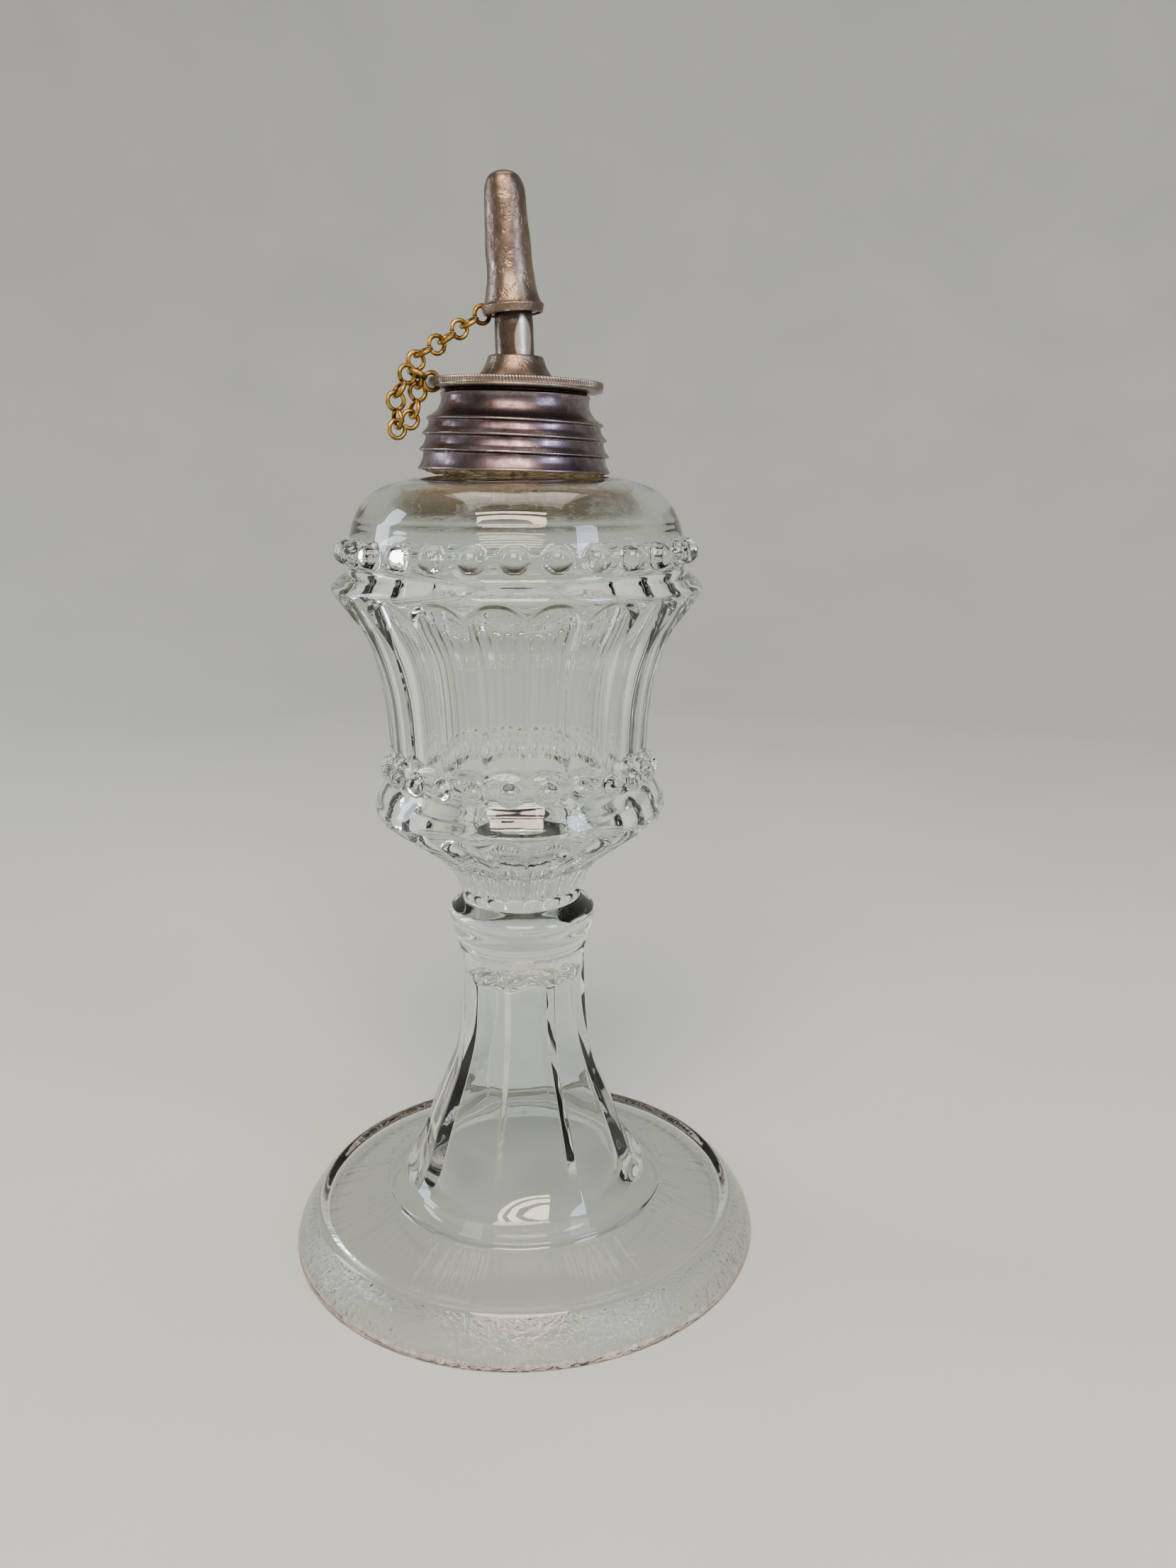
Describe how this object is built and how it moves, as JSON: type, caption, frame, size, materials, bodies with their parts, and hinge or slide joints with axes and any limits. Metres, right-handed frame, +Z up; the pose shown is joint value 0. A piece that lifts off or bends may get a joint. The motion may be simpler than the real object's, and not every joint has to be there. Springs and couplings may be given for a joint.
{
  "type": "glass fluid lamp",
  "caption": "Pressed-glass fluid lamp: fluted, beaded font on a hollow stem and round foot, pewter screw collar, burner with wick tube, and a snuffer cap on a chain.",
  "frame": {"origin": "centre of the foot, on the resting plane", "axes": "+Z up along the lamp's axis, -Y towards the viewer, +X to the right"},
  "size_m": [0.1084, 0.1084, 0.2352],
  "materials": {
    "pressed_glass": "clear pressed flint glass, fire-polished, slightly grey-green",
    "plaster": "crumbly tan plaster",
    "pewter": "spun pewter, dark purplish-grey patina",
    "worn_pewter": "cast pewter, warm brown-grey patina, pitted and worn bright",
    "leather": "hardened dark leather washer",
    "cotton": "round braided cotton wick",
    "brass": "bent brass wire, browned with age"
  },
  "bodies": {
    "lamp": {"glass_base": "pressed_glass", "glass_wafer": "pressed_glass", "glass_font": "pressed_glass", "collar_plaster": "plaster", "collar": "pewter"},
    "gasket": {"gasket": "leather"},
    "burner": {"burner": "worn_pewter", "wick_tube": "worn_pewter", "chain_link_1": "brass", "chain_link_2": "brass", "chain_link_3": "brass", "chain_link_4": "brass", "chain_link_5": "brass", "chain_link_6": "brass", "chain_link_7": "brass", "chain_link_8": "brass", "chain_link_9": "brass"},
    "wick": {"wick": "cotton"},
    "snuffer": {"snuffer_cap": "worn_pewter"}
  },
  "joints": [
    {"name": "burner_rise", "type": "slide", "parent": "lamp", "child": "gasket", "axis": [0.0279, 0, 0.9996], "range_m": [0, 0.0073]},
    {"name": "burner_turn", "type": "hinge", "parent": "gasket", "child": "burner", "pos_m": [-0.0004, 0, 0.1771], "axis": [0.0279, 0, 0.9996], "range_deg": [0, 1080]},
    {"name": "wick_raise", "type": "slide", "parent": "burner", "child": "wick", "axis": [-0.0227, 0, 0.9997], "range_m": [-0.006, 0.003]},
    {"name": "snuffer_lift", "type": "slide", "parent": "burner", "child": "snuffer", "axis": [0, 0, 1], "range_m": [0, 0.0205]}
  ],
  "couplings": [
    {"joint": "burner_rise", "follows": "burner_turn", "m_per_rad": 0.00038197}
  ]
}
